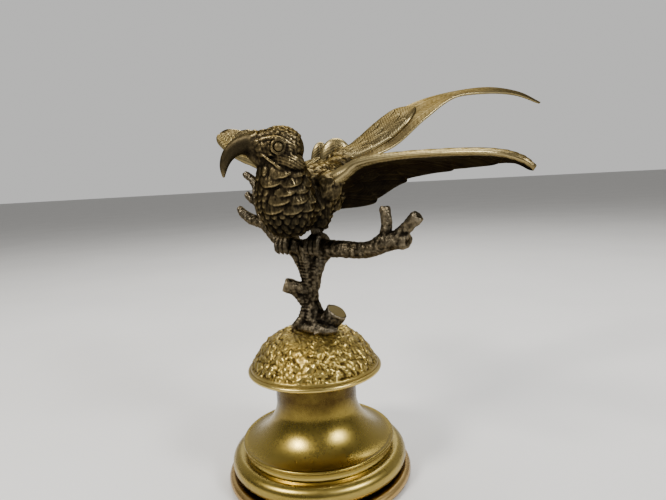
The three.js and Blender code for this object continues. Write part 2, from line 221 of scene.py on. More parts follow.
MATERIALS = {
    "turned": turned_metal("turned_brass", (0.30, 0.218, 0.047), (0.055, 0.033, 0.009), (0.52, 0.40, 0.12),
                           rough=0.25),
    "flange": turned_metal("flange_brass", (0.33, 0.205, 0.066), (0.08, 0.042, 0.014), (0.54, 0.37, 0.14),
                           rough=0.27),
    "rock": cast_metal("cast_brass", (0.055, 0.034, 0.009), (0.245, 0.172, 0.04), (0.56, 0.425, 0.13),
                       contrast=1.05,
                       edge=(1, 1, 1)),
    "bird": cast_metal("dark_bronze", (0.004, 0.0035, 0.003), (0.023, 0.0175, 0.0105), (0.50, 0.39, 0.19),
                       (0.6, 0.42, 0.25),
                       contrast=0.95, mottle=0.26, blend=0.24),
    "feather": cast_metal("feather_bronze", (0.012, 0.009, 0.006), (0.085, 0.065, 0.031), (0.35, 0.28, 0.135),
                          (0.6, 0.46, 0.32), contrast=1.2, mottle=0.3),
    "bark": cast_metal("bark_bronze", (0.006, 0.005, 0.004), (0.015, 0.012, 0.008), (0.19, 0.16, 0.11),
                       (0.55, 0.42, 0.3),
                       contrast=0.95, age=0.8, beads=1250, mottle=0.2),
    "eye": cast_metal("eye_bronze", (0.006, 0.005, 0.004), (0.022, 0.017, 0.012), (0.075, 0.06, 0.04),
                      (0.42, 0.36, 0.3)),
    "steel": plain_steel("steel"),
    "floor": floor_paper("pale_paper"),
}


# ------------------------------------------------------------------ modelling helpers, all in millimetres
def deselect():
    if bpy.context.object and bpy.context.object.mode != "OBJECT":
        bpy.ops.object.mode_set(mode="OBJECT")
    bpy.ops.object.select_all(action="DESELECT")


def join(pieces, name):
    deselect()
    for piece in pieces:
        piece.select_set(True)
    bpy.context.view_layer.objects.active = pieces[0]
    bpy.ops.object.join()
    whole = bpy.context.object
    whole.name = name
    return whole


def apply(obj, kind, **settings):
    deselect()
    obj.select_set(True)
    bpy.context.view_layer.objects.active = obj
    modifier = obj.modifiers.new(kind.title(), kind)
    for key, value in settings.items():
        setattr(modifier, key, value)
    bpy.ops.object.modifier_apply(modifier=modifier.name)


def coords(obj):
    flat = np.empty(len(obj.data.vertices) * 3)
    obj.data.vertices.foreach_get("co", flat)
    return flat.reshape(-1, 3)


def set_coords(obj, points):
    obj.data.vertices.foreach_set("co", np.ascontiguousarray(points, np.float32).ravel())
    obj.data.update()


def normals(obj):
    flat = np.empty(len(obj.data.vertices) * 3, np.float32)
    obj.data.vertex_normals.foreach_get("vector", flat)
    return flat.reshape(-1, 3).astype(float)


def smoothed(obj, values, rounds):
    """Averages values over each point's neighbours, rounds times."""
    pairs = np.empty(len(obj.data.edges) * 2, np.int64)
    obj.data.edges.foreach_get("vertices", pairs)
    a, b = pairs.reshape(-1, 2).T
    count = np.bincount(pairs, minlength=len(values)).astype(float)[:, None]
    result = values.reshape(len(values), -1).astype(float)
    for _ in range(rounds):
        total = np.zeros_like(result)
        for axis in range(result.shape[1]):
            total[:, axis] += np.bincount(a, result[b, axis], len(values))
            total[:, axis] += np.bincount(b, result[a, axis], len(values))
        result = 0.5 * result + 0.5 * total / np.maximum(count, 1)
    return result.reshape(values.shape)


def mark(obj, name, values):
    layer = obj.data.attributes.get(name) or obj.data.attributes.new(name, "FLOAT", "POINT")
    layer.data.foreach_set("value", np.asarray(values, np.float32))


def mark_relief(obj, rounds=12, reach=0.3, broad=0.0):
    """Stores how far each point stands proud of the smoothed form: 0 deep, 0.5 level, 1 proud."""
    points = coords(obj)
    outward = normals(obj)
    near = smoothed(obj, points, rounds)
    value = 0.5 + 0.5 * np.einsum("ij,ij->i", points - near, outward) / reach
    if broad:
        far = smoothed(obj, near, rounds * 4)
        value += broad * np.einsum("ij,ij->i", near - far, outward) / (reach * 2.5)
    mark(obj, "relief", np.clip(value, 0, 1))


def finish_piece(obj, name, material, nodes, smooth_angle=None):
    """Names a piece, gives it its finish and hangs it in the frame."""
    deselect()
    obj.select_set(True)
    bpy.context.view_layer.objects.active = obj
    obj.data.transform(Matrix.Scale(MM, 4))
    obj.name = name
    obj.data.name = name
    obj.data.materials.clear()
    obj.data.materials.append(MATERIALS[material])
    bpy.ops.object.shade_smooth()
    if smooth_angle:
        bpy.ops.object.shade_smooth_by_angle(angle=smooth_angle)
    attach(obj, "root")
    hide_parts(*nodes)


def curve_points(points, t):
    """Points at t, 0 to 1, on a smooth curve through the given ones."""
    p = np.array(points, float)
    p = np.vstack([2 * p[0] - p[1], p, 2 * p[-1] - p[-2]])
    s = np.clip(np.asarray(t, float), 0, 1) * (len(p) - 3)
    i = np.minimum(s.astype(int), len(p) - 4)
    f = (s - i)[..., None]
    a, b, c, d = p[i], p[i + 1], p[i + 2], p[i + 3]
    return 0.5 * (2 * b + (c - a) * f + (2 * a - 5 * b + 4 * c - d) * f**2 + (3 * b - a - 3 * c + d) * f**3)


def limb(points, radii, sides=5):
    """A round bar that follows a path, as thick as its radii say."""
    deselect()
    bpy.ops.curve.primitive_bezier_curve_add(location=(0, 0, 0))
    rod = bpy.context.object
    spline = rod.data.splines[0]
    spline.bezier_points.add(len(points) - 2)
    for knot, place, radius in zip(spline.bezier_points, points, radii):
        knot.co = place
        knot.radius = radius
        knot.handle_left_type = knot.handle_right_type = "AUTO"
    rod.data.dimensions = "3D"
    rod.data.bevel_depth = 1.0
    rod.data.bevel_resolution = sides
    rod.data.resolution_u = 10
    rod.data.use_fill_caps = True
    bpy.ops.object.convert(target="MESH")
    bpy.ops.object.mode_set(mode="EDIT")
    bpy.ops.mesh.select_all(action="SELECT")
    bpy.ops.mesh.remove_doubles(threshold=0.001)
    bpy.ops.mesh.normals_make_consistent(inside=False)
    bpy.ops.object.mode_set(mode="OBJECT")
    return bpy.context.object


def blob(centre, radii, tilt=0.0, turn=0.0, segments=32, rings=20):
    deselect()
    bpy.ops.mesh.primitive_uv_sphere_add(segments=segments, ring_count=rings, radius=1, location=centre,
                                         rotation=(tilt, 0, turn), scale=radii)
    bpy.ops.object.transform_apply(location=True, rotation=True, scale=True)
    return bpy.context.object


def turn(profile, steps=144):
    """Draws a profile by extruding a point, then spins it about the pedestal's axis."""
    deselect()
    bpy.ops.mesh.primitive_plane_add(size=1, location=(0, 0, 0))
    bpy.ops.object.mode_set(mode="EDIT")
    bpy.ops.mesh.select_all(action="SELECT")
    bpy.ops.mesh.merge(type="CENTER")
    bpy.ops.transform.translate(value=(profile[0][0], 0, profile[0][1]))
    for (r0, z0), (r1, z1) in zip(profile, profile[1:]):
        bpy.ops.mesh.extrude_vertices_move(TRANSFORM_OT_translate={"value": (r1 - r0, 0, z1 - z0)})
    bpy.ops.mesh.select_all(action="SELECT")
    bpy.ops.mesh.spin(steps=steps, angle=2 * math.pi, center=(0, 0, 0), axis=(0, 0, 1))
    bpy.ops.mesh.select_all(action="SELECT")
    bpy.ops.mesh.remove_doubles(threshold=0.002)
    bpy.ops.mesh.normals_make_consistent(inside=False)
    bpy.ops.object.mode_set(mode="OBJECT")
    return bpy.context.object


def arc(centre, radius, start, end, count=14, squash=1.0):
    """Points on an arc of a profile, angles in degrees from the outward direction."""
    angles = np.radians(np.linspace(start, end, count))
    return [(centre[0] + radius * math.cos(a), centre[1] + radius * squash * math.sin(a)) for a in angles]


# ------------------------------------------------------------------ sizes shared with the solid model
FLANGE_R, FLANGE_H = 40.0, 4.5
TORUS_R, TORUS_H = 38.0, 8.4
WAIST_R, WAIST_H = 33.0, 33.0
NECK_R = 17.5
CAP_R, CAP_RISE = 28.9, 16.0
GAP = 0.3
TORUS_Z = FLANGE_H + GAP
WAIST_Z = TORUS_Z + TORUS_H + GAP
WAIST_TOP = WAIST_Z + WAIST_H
CAP_Z = WAIST_TOP + GAP
CAP_TOP = CAP_Z + CAP_RISE + 2.2
PERCH_Z = CAP_TOP + 35.0
BORE_R = 2.8


def bird(x, y, z):
    return (x, y, PERCH_Z + z)


def bird_path(*points):
    return [bird(*point) for point in points]


# ------------------------------------------------------------------ turned base
def make_base():
    edge = FLANGE_H * 0.5
    flange = turn([(0, 0), (20, 0), (FLANGE_R - 2.4, 0)]
                  + arc((FLANGE_R - 2.2, edge), 2.2, -90, 90, 16, edge / 2.2 * 0.999)
                  + [(FLANGE_R - 4, FLANGE_H - 0.15), (8.5, FLANGE_H - 0.15), (8.5, 12.2), (BORE_R, 12.2),
                     (BORE_R, 2.5), (0, 2.5)])
    mark_relief(flange, 10, 0.5)
    finish_piece(flange, "foot_flange", "flange", ["foot_plate"], 0.7)

    half = TORUS_H / 2
    bore = WAIST_R - 7
    belly = arc((TORUS_R - half, TORUS_Z + half), half, -90, 90, 30)
    ring = turn([(bore, TORUS_Z)] + belly + [(bore, TORUS_Z + TORUS_H), (bore, TORUS_Z)])
    mark_relief(ring, 10, 0.5)
    finish_piece(ring, "ring_moulding", "turned", ["torus_ring"], 0.7)

    rim_z = WAIST_Z + WAIST_H * 0.12
    neck_z = WAIST_Z + WAIST_H * 0.62
    dish = WAIST_R - 1.6
    outer = [(WAIST_R - 0.9, WAIST_Z), (WAIST_R - 0.9, WAIST_Z + 0.5), (WAIST_R - 1.1, WAIST_Z + 1.0),
             (WAIST_R - 1.1, rim_z - 1.4)]
    outer += arc((WAIST_R - 0.6, rim_z - 0.5), 0.6, -80, 100, 12)
    outer += [(WAIST_R - 1.1, rim_z + 0.0), (dish, rim_z - 0.06)]
    for step in range(1, 41):
        angle = math.pi / 2 * step / 40
        outer.append((dish - (dish - NECK_R) * math.sin(angle),
                      rim_z + (neck_z - rim_z) * (1 - math.cos(angle)) ** 0.8))
    outer += [(NECK_R, z) for z in np.linspace(neck_z, WAIST_TOP - 3, 12)[1:]]
    outer += [(NECK_R + 0.4, WAIST_TOP - 0.6), (NECK_R + 0.3, WAIST_TOP)]
    web = WAIST_TOP - 3.2
    inner = [(BORE_R, WAIST_TOP), (BORE_R, web), (NECK_R - 3.2, web), (NECK_R - 3.2, neck_z - 4),
             (NECK_R + 0.8, rim_z + 2.6), (WAIST_R - 8, rim_z - 1.5), (WAIST_R - 8, WAIST_Z)]
    waist = turn(outer + inner + outer[:1])
    mark_relief(waist, 10, 0.5)
    relief = np.empty(len(waist.data.vertices), np.float32)
    waist.data.attributes["relief"].data.foreach_get("value", relief)
    # painted shade under the cap: the upper neck is darkened and held back from its bright worn tone
    level = np.clip((coords(waist)[:, 2] - WAIST_Z - 12) / 12, 0, 1)
    relief = np.where(level > 0, np.minimum(relief, 0.5), relief)
    mark(waist, "relief", np.clip(relief - 0.31 * level, 0, 1))
    finish_piece(waist, "waist_body", "turned", ["waist_pedestal"], 0.7)


# ------------------------------------------------------------------ rocky cap
def rock_height(x, y, z):
    """Leafy clumps and broken rock; a plain patch is left under the root, and a stippled one beside it."""
    angle = math.atan2(y, x)
    front = math.atan2(-1, 0.75)
    aside = (angle - front + math.pi) % (2 * math.pi) - math.pi
    rough = min(max((abs(aside) - 0.04 - 0.6 * max(z - CAP_Z - 12, 0) / 6) / 0.3, 0), 1)
    low = min(max((z - CAP_Z - 3.3) / 0.9, 0), 1)
    place = Vector((x, y, z))
    bent = place + noise.noise_vector(place * 0.2) * 2.6
    clump = noise.voronoi(bent * 0.20)[0]
    leaf = min((clump[1] - clump[0]) * 1.6, 1.0)
    cells = noise.voronoi(bent * 0.5)[0]
    chip = min((cells[1] - cells[0]) * 1.7, 1.0)
    fold = noise.ridged_multi_fractal(bent * 0.26, 1.0, 2.1, 3, 1.0, 2.0) - 1.2
    fine = noise.fractal(place * 1.1, 1.0, 2.0, 3)
    full = 0.75 * leaf + 0.42 * chip + 0.34 * fold + 0.26 * fine - 0.95
    dots = noise.voronoi(place * 0.85)[0][0]
    beside = min(max(1 - abs(aside - 0.12) / 0.34, 0), 1)
    calm = (0.44 * min(dots * 1.6, 1.0) - 0.2) * beside + 0.62 * (full + 0.4) - 0.34
    return low * (rough * full + (1 - rough) * calm) + 0.05 * fine * (1 - low)


def make_cap():
    rim_z = CAP_Z + 2.2
    flat = CAP_R * 0.34
    profile = [(NECK_R - 0.4, CAP_Z), (CAP_R - 3.2, CAP_Z + 0.35)] + arc((CAP_R - 0.9, CAP_Z + 1.35), 0.9,
                                                                         -80, 60, 9)
    profile += [(CAP_R - 1.0, rim_z + 0.1)]
    for step in range(64):
        angle = math.pi / 2 * step / 63
        r = flat + (CAP_R - 1.2 - flat) * math.cos(angle) ** 1.02
        profile.append((r, rim_z + 0.2 + (CAP_RISE - 0.2) * math.sin(angle) ** 1.52))
    profile += [(r, CAP_TOP) for r in np.linspace(flat, BORE_R, 12)[1:]]
    roof = CAP_TOP - 2.6
    profile += [(BORE_R, roof), (flat - 1, roof), (CAP_R * 0.62, roof - CAP_RISE * 0.22),
                (CAP_R - 4.8, CAP_Z + 4.6),
                (NECK_R - 2.5, CAP_Z + 2.6), (NECK_R - 4.5, CAP_Z + 2.2), (NECK_R - 4.5, CAP_Z),
                (NECK_R - 0.4, CAP_Z)]
    cap = turn(profile, 360)
    points = coords(cap)
    outward = normals(cap)
    lift = np.zeros(len(points))
    for i, (x, y, z) in enumerate(points):
        r = math.hypot(x, y)
        outside = z > rim_z + 0.2 and outward[i][2] > -0.1 and r > BORE_R + 0.4
        if outside and z > roof - (r - flat) * 0.9 + 0.9:
            lift[i] = rock_height(x, y, z)
    points += outward * lift[:, None]
    set_coords(cap, points)
    mark_relief(cap, 12, 0.34, broad=0.5)
    finish_piece(cap, "rocky_cap", "rock", ["mound_cap"], 0.9)


# ------------------------------------------------------------------ branch
BRANCH_RISE = 35.0
BRANCH_VOXEL = 0.36


def trunk(x, y, share):
    return (x, y, CAP_TOP + BRANCH_RISE * share)


def trunk_path(*points):
    return [trunk(*point) for point in points]


BRANCH_PATHS = [
    (trunk_path((0, 0, -0.02), (-0.4, 0, 0.12), (-0.5, 0, 0.28), (0, 0, 0.52), (0.6, 0, 0.75), (1, 0, 0.9),
                (2, 0, 1.02)),
     [5.6, 4.6, 3.9, 3.5, 3.9, 5.0, 5.4]),
    (trunk_path((1.2, 0.4, 0.5), (3.4, 0.6, 0.72), (8.5, 0.4, 0.92), (15, 0, 1.0)), [2.9, 3.0, 3.0, 2.6]),
    (trunk_path((-0.6, -0.4, 0.62), (-3.6, -0.4, 0.8), (-8.5, 0, 0.95), (-12, 0, 1.01)),
     [2.9, 2.9, 2.8, 2.4]),
    (trunk_path((0.8, -0.6, 0.3), (3.6, -2.4, 0.12), (6.4, -4.8, 0.045), (8.8, -6.4, -0.01)),
     [2.8, 2.8, 2.4, 1.4]),
    (trunk_path((-0.6, -0.6, 0.24), (-1.4, -2.6, 0.09), (-1.6, -4.8, 0.03), (-0.4, -6.6, 0.0)),
     [2.8, 2.6, 2.2, 1.4]),
    (bird_path((-3, 0, -1), (8, 0, 0), (18, 0, 0.1), (31, 0, 0.4), (36, 0, 1.8), (41, 0, 4), (49.4, 0, 4.6),
               (50.6, 0, 4.4)),
     [4.4, 3.8, 3.5, 3.2, 3.3, 3.9, 3.1, 2.4]),
    (bird_path((40, 0, 3), (41.2, 0, 10), (40.8, 0, 16), (40.8, 0, 17)), [2.9, 2.1, 2.2, 1.9]),
    (bird_path((44, 0, 4.6), (49, 0, 8.6), (54.2, 0, 13.2), (54.8, 0, 13.8)), [3.0, 2.2, 2.6, 2.2]),
    (bird_path((4, 0, -0.6), (-8, 0, 0), (-17, 0, 2.6), (-27, 0, 9.6), (-37, 0, 12), (-42, 0, 14.6),
               (-45, 0, 17)),
     [4.6, 3.7, 3.3, 2.8, 2.5, 2.1, 1.6]),
    (bird_path((-27, 0, 9.6), (-32, 1, 20), (-35, 2, 29), (-41, 2, 33)), [2.4, 2.0, 1.9, 1.7]),
    (bird_path((-32, 1, 19), (-36, 1, 21), (-39.5, 1, 23.4)), [1.9, 1.8, 1.8]),
    (trunk_path((0, 0, 0.48), (-3.8, -3.4, 0.505), (-7.6, -6.7, 0.55), (-8.3, -7.3, 0.56)),
     [3.4, 3.1, 3.4, 3.1]),
    (trunk_path((-0.5, -0.5, 0.26), (-2.8, -2.6, 0.38), (-5.4, -4.8, 0.49)), [2.8, 2.5, 2.2]),
    (trunk_path((1, 0, 0.04), (6.0, 1, 0.085), (10.9, 2.4, 0.18), (12.3, 2.8, 0.24)), [4.4, 4.3, 4.6, 4.7]),
]


def bark_height(x, y, z):
    """Beaded bark: short knobs in rows along the wood, with long cracks between them."""
    place = Vector((x * 0.62, y * 0.62, z * 0.62))
    knobs = noise.voronoi(place)[0]
    bead = 0.5 - min(knobs[0], 0.9)
    pits = noise.voronoi(place * 2.1)[0]
    crack = noise.ridged_multi_fractal(Vector((x * 0.3, y * 0.3, z * 0.16)), 1.0, 2.0, 3, 1.0, 2.0) - 1.0
    return 0.36 * bead + 0.26 * crack + 0.12 * (0.5 - min(pits[0], 0.9))


def make_branch():
    pieces = [limb(path, radii) for path, radii in BRANCH_PATHS]
    for root in range(5):
        angle = 0.5 + root * 2 * math.pi / 5
        bend = angle + 0.35 * (-1) ** root
        start = trunk(1.5 * math.cos(angle), 1.5 * math.sin(angle), 0.3)
        middle = trunk(4.6 * math.cos(angle), 4.6 * math.sin(angle), 0.1)
        low = trunk(6.8 * math.cos(bend), 6.8 * math.sin(bend), 0.035)
        tip = trunk(8.8 * math.cos(bend), 8.8 * math.sin(bend), 0.0)
        pieces.append(limb([start, middle, low, tip], [2.4, 2.7, 2.4, 1.6]))
    pieces.append(blob((4.6, -3.4, CAP_TOP + 1.4), (7.6, 4.6, 2.9), turn=0.2))
    pieces.append(blob((8.8, -1.2, CAP_TOP + 0.8), (5.2, 4.4, 2.6), turn=0.6))
    pieces.append(blob((-1.6, -3.8, CAP_TOP + 1.0), (3.6, 2.8, 2.4), turn=-0.8))
    whole = join(pieces, "branch_form")
    apply(whole, "REMESH", mode="VOXEL", voxel_size=BRANCH_VOXEL)
    apply(whole, "SMOOTH", factor=0.5, iterations=6)
    points = coords(whole)
    outward = normals(whole)
    strand = np.array([bark_height(*p) for p in points])
    # a beaded strand runs up the left of the trunk
    side = Vector((-math.sin(HEADING), -math.cos(HEADING), 0))
    trunk_zone = np.clip((96 - points[:, 2]) / 4, 0, 1) * (np.hypot(points[:, 0], points[:, 1]) < 6.5)
    facing = outward @ np.array(side)
    beads = np.sin(points[:, 2] * 4.6) * np.clip(facing * 1.8 - 0.3, 0, 1) * 0.16
    floor_z = CAP_TOP + 0.4
    keep = np.clip((points[:, 2] - floor_z) / 1.5, 0, 1)
    face = Vector((1.2, 0.3, 1.925)).normalized()
    sawn = (outward @ np.array(face) > 0.93) & (points[:, 0] > 9.5) & (points[:, 2] < CAP_TOP + 14)
    keep = np.where(sawn, 0.05, keep)
    points += outward * ((strand + beads * trunk_zone) * keep)[:, None]
    near_axis = np.hypot(points[:, 0], points[:, 1]) < 10.5
    lowest = np.where(near_axis, floor_z - 0.1, points[:, 2])
    points[:, 2] = np.maximum(points[:, 2], lowest)
    set_coords(whole, points)
    mark_relief(whole, 14, 0.3, broad=0.3)
    relief = np.empty(len(points), np.float32)
    whole.data.attributes["relief"].data.foreach_get("value", relief)
    roots = np.clip((CAP_TOP + 6 - points[:, 2]) / 6, 0, 1) * 0.10
    mark(whole, "relief", np.where(sawn, 0.80, np.clip(relief + roots, 0, 1)))
    finish_piece(whole, "bark_branch", "bark", ["branch"])
    whole.data.materials.append(MATERIALS["feather"])
    for cut in whole.data.polygons:
        if all(sawn[v] for v in cut.vertices):
            cut.material_index = 1


# ------------------------------------------------------------------ bird
HEAD = np.array(bird(8.3, -20, 40))
HEAD_TURN = -0.84
EYE_TURN = HEAD_TURN + 0.1
UP = np.array((0, 0, 1))
FACE = np.array((math.sin(HEAD_TURN), -math.cos(HEAD_TURN), 0))     # the way the beak points
SIDE = np.array((math.cos(HEAD_TURN), math.sin(HEAD_TURN), 0))      # towards the bird's left cheek
SIDES = {"left": 1, "right": -1}
FOOT_X = {"left": 7, "right": -11}
EYE_R = 1.66
SOCKET_R = 1.95
FORM_VOXEL = 0.8
PLUMAGE_VOXEL = 0.34
NECK_LEVELS = (8, 16, 21, 29, 38)       # heights over the perch where the neck's place and width are given


def eye_spot(side):
    across = np.array((math.cos(EYE_TURN), math.sin(EYE_TURN), 0))
    return HEAD + np.array((-0.5, -0.3, 0.2)) + across * side * 7


def on_head(side, forward, sideways, up):
    """A place on the head, measured from its middle towards the beak, the given cheek and the crown."""
    return tuple(HEAD + FACE * forward + SIDE * side * sideways + np.array((0, 0, up)))


def face_line(side, points, radii, sides=5):
    return limb([on_head(side, *p) for p in points], radii, sides)


def scale_shape(width, length, depth, bend):
    """One rounded feather end: a flat-topped, bent shell with a shaft line and a narrower root."""
    deselect()
    bpy.ops.mesh.primitive_uv_sphere_add(segments=20, ring_count=10, radius=1)
    shape = bpy.context.object
    x, y, z = coords(shape).T
    blunt = 1 + 0.14 * np.clip(y, 0, 1) * np.abs(x)
    x = x * blunt * (0.62 + 0.38 * np.clip((y + 1) * 0.8, 0, 1))
    z = np.sign(z) * np.abs(z) ** 0.55 * (0.75 + 0.25 * y)
    z = z + 0.22 * np.exp(-(x / 0.12) ** 2) * (z > 0) + 0.05 * np.cos(x * 22) * (z > 0)
    points = np.stack((x * width / 2, y * length / 2, z * depth / 2), axis=1)
    points[:, 2] -= points[:, 0] ** 2 / (2 * bend)
    set_coords(shape, points)
    return shape


def seat_scale(shape, spot, outward, flow, lift):
    """Lays one feather scale on the surface, its tip raised and pointing along the flow."""
    outward = Vector(outward).normalized()
    along = Vector(flow) - outward * outward.dot(Vector(flow))
    if along.length < 1e-4:
        return None
    along.normalize()
    along = (along * math.cos(lift) + outward * math.sin(lift)).normalized()
    across = along.cross(outward).normalized()
    up = across.cross(along)
    copy = shape.copy()
    copy.data = shape.data.copy()
    bpy.context.collection.objects.link(copy)
    turn_to = Matrix((across, along, up)).transposed().to_4x4()
    copy.data.transform(Matrix.Translation(spot) @ turn_to)
    return copy


def scales_on(tree, shape, rays, lift):
    """Lays a scale where each ray lands on the form. A ray is a start, an outward direction and a flow."""
    found = []
    for spot, outward, flow in rays:
        hit, hit_normal, _, _ = tree.ray_cast(Vector(spot), Vector(outward) * -1)
        if hit is None:
            continue
        laid = seat_scale(shape, hit, hit_normal, flow, lift)
        if laid:
            found.append(laid)
    return found


def neck_rays(levels, spacing, jitter, front=None):
    """Rings of rays round the neck and breast, half a scale over in every other ring."""
    rays = []
    front_angle = math.radians(138)
    for index, level in enumerate(levels):
        y = np.interp(level, NECK_LEVELS, (-8, -12, -14.5, -17.6, -19.6))
        x = np.interp(level, NECK_LEVELS, (2.4, 3.4, 4.2, 5.6, 7.6))
        radius = np.interp(level, NECK_LEVELS, (10, 12.4, 12.6, 11, 8.6))
        count = round(2 * math.pi * radius / spacing)
        for k in range(count):
            angle = 2 * math.pi * (k + 0.5 * (index % 2)) / count
            angle += jitter * 0.1 * noise.noise(Vector((index * 5.3, k * 2.9, 1)))
            off_front = abs((angle + front_angle + math.pi) % (2 * math.pi) - math.pi)
            if front is not None and front != (off_front < 1.0):
                continue
            height = level + jitter * 1.6 * noise.noise(Vector((index * 2.3, k * 1.9, 4)))
            outward = Vector((math.cos(angle), math.sin(angle), 0))
            rays.append((Vector(bird(x, y, height)) + outward * 40, outward, Vector((0, 0.25, -1))))
    return rays


def body_rays(axis, shares, spacing, radius_at, jitter):
    """Rays that fall on the form from all round an axis, row by row, half a step over in every other row."""
    rays = []
    for index, share in enumerate(shares):
        centre = Vector(curve_points(axis, share))
        flow = Vector(curve_points(axis, min(share + 0.02, 1))) - Vector(curve_points(axis,
                                                                                      max(share - 0.02, 0)))
        flow.normalize()
        first = flow.cross(Vector((0, 0, 1))) if abs(flow.z) < 0.9 else flow.cross(Vector((0, 1, 0)))
        first.normalize()
        second = flow.cross(first)
        count = max(int(2 * math.pi * radius_at(share) / spacing), 4)
        for k in range(count):
            shift = 0.5 * (index % 2) + jitter * noise.noise(Vector((index * 3.1, k * 1.7, 0)))
            angle = 2 * math.pi * (k + shift) / count
            outward = first * math.cos(angle) + second * math.sin(angle)
            rays.append((centre + outward * 40, outward, flow))
    return rays


def crown_rays():
    """Rings of rays on the head, swept back from the beak; the cheeks and throat are left bare."""
    rays = []
    for index, polar in enumerate(np.arange(0.62, 2.5, 0.205)):
        count = max(int(2 * math.pi * math.sin(polar) * 8.3 / 2.05), 6)
        for k in range(count):
            angle = 2 * math.pi * (k + 0.5 * (index % 2)) / count
            ring = SIDE * math.cos(angle) + UP * math.sin(angle)
            outward = Vector(FACE * math.cos(polar) + ring * math.sin(polar))
            cheek = outward.dot(Vector(SIDE)) ** 2 > 0.80 and outward.z < 0.3
            if outward.z > -0.35 and not cheek:
                rays.append((Vector(HEAD) + outward * 25, outward, Vector(-FACE)))
    return rays


def bird_form():
    """Body, neck, head, rump, shoulders, beak and thighs, melted into one."""
    forms = [
        blob(bird(1, 2.5, 21.8), (11.8, 22.4, 11.4), tilt=0.42),
        limb(bird_path((3, -9, 13), (3.6, -12.5, 16), (4.2, -15.4, 21), (5.6, -17.6, 29), (7.4, -19.4, 37)),
             [9.4, 11.0, 11.2, 9.9, 7.8], 8),
        blob(tuple(HEAD), (7.5, 9.1, 8.3), turn=HEAD_TURN),
        limb(bird_path((0, 13, 27), (0.4, 20, 31.6), (1.6, 27, 36.4)), [8.6, 6.4, 3.8]),
        blob(bird(-2.2, 24.6, 35.6), (5.4, 5.6, 5.2)),
        blob(bird(11.2, 2.2, 25.6), (5.8, 6.6, 5.4), turn=0.5),
        blob(bird(-11.0, 2.5, 26.5), (6.4, 7.0, 6.2), turn=-0.5),
        limb(bird_path((4.5, -24, 41.4), (1.6, -26.6, 42.5), (-1.2, -29.2, 42.4), (-5.0, -32.6, 39.8),
                       (-7.0, -34.5, 35.4), (-7.5, -35.0, 30.0)), [6.2, 4.7, 3.7, 2.85, 2.0, 0.8], 6),
        limb(bird_path((3.6, -23.6, 36.6), (1.6, -26.2, 38.0), (-0.6, -28.6, 38.8)), [4.6, 3.4, 1.4]),
    ]
    for x in FOOT_X.values():
        forms.append(limb(bird_path((x * 0.8, 2, 18), (x * 0.9, 0, 12), (x, -1, 8.2)), [6.4, 5.2, 3.3]))
    form = join(forms, "bird_form")
    apply(form, "REMESH", mode="VOXEL", voxel_size=FORM_VOXEL)
    apply(form, "SMOOTH", factor=0.5, iterations=8)
    return form


def lay_feathers(form):
    """Ruff, breast, belly, back and crown, each from its own scale."""
    tree = BVHTree.FromObject(form, bpy.context.evaluated_depsgraph_get())
    ruff = scale_shape(9.4, 6.6, 2.1, bend=10)
    breast = scale_shape(3.0, 5.4, 0.85, bend=8)
    small = scale_shape(2.2, 3.4, 0.75, bend=6)
    mantle = scale_shape(4.6, 6.4, 0.75, bend=9)
    belly = bird_path((3, -9, 12), (2, -2, 10), (1.5, 6, 11), (1, 14, 15), (0, 22, 22))
    back = bird_path((4, -15, 31), (2, -5, 27), (0.5, 8, 26), (0, 17, 29.4), (1, 24, 34))
    laid = scales_on(tree, ruff, neck_rays((32.2, 28.8, 25.4, 22.0, 18.8), 8.2, 1.1, front=False), 0.27)
    laid += scales_on(tree, breast, neck_rays((33, 30.6, 28.2, 25.8, 23.4, 21, 18.8), 3.1, 0.9, front=True),
                      0.2)
    laid += scales_on(tree, breast, neck_rays((16.4, 14.4, 12.4, 10.4, 8.6), 3.1, 0.9), 0.2)
    laid += scales_on(tree, breast, body_rays(belly, np.arange(0.05, 0.98, 0.08), 3.0, lambda share: 11, 0.9),
                      0.2)
    laid += scales_on(tree, mantle,
                      body_rays(back, np.arange(0.10, 0.94, 0.08), 3.8, lambda share: 12 - 5 * share, 0.6),
                      0.11)
    laid += scales_on(tree, small, crown_rays(), 0.16)
    for pattern in (ruff, breast, small, mantle):
        bpy.data.objects.remove(pattern)
    return laid


def eyelid(side):
    deselect()
    bpy.ops.mesh.primitive_torus_add(location=tuple(eye_spot(side) + SIDE * side * 0.95),
                                     rotation=(math.pi / 2, 0, EYE_TURN + math.pi / 2),
                                     major_radius=2.35, minor_radius=0.55, major_segments=40,
                                     minor_segments=10)
    return bpy.context.object


def ear_patch(side):
    """A finely ribbed shell that sweeps back from the corner of the beak."""
    deselect()
    bpy.ops.mesh.primitive_uv_sphere_add(segments=96, ring_count=60, radius=1)
    patch = bpy.context.object
    points = coords(patch)
    lean = math.radians(22)
    back = -FACE * math.cos(lean) - np.array((0, 0, math.sin(lean)))
    rise = -FACE * math.sin(lean) + np.array((0, 0, math.cos(lean)))
    streaks = 1 + 0.034 * np.sin((points[:, 1] + 0.3 * points[:, 0] ** 2) * 24)
    shell = points * streaks[:, None] * (6.9, 4.0, 5.0)
    set_coords(patch, np.array(on_head(side, -2.5, 3.2, -4.4)) + shell @ np.array((back, rise, SIDE * side)))
    return patch


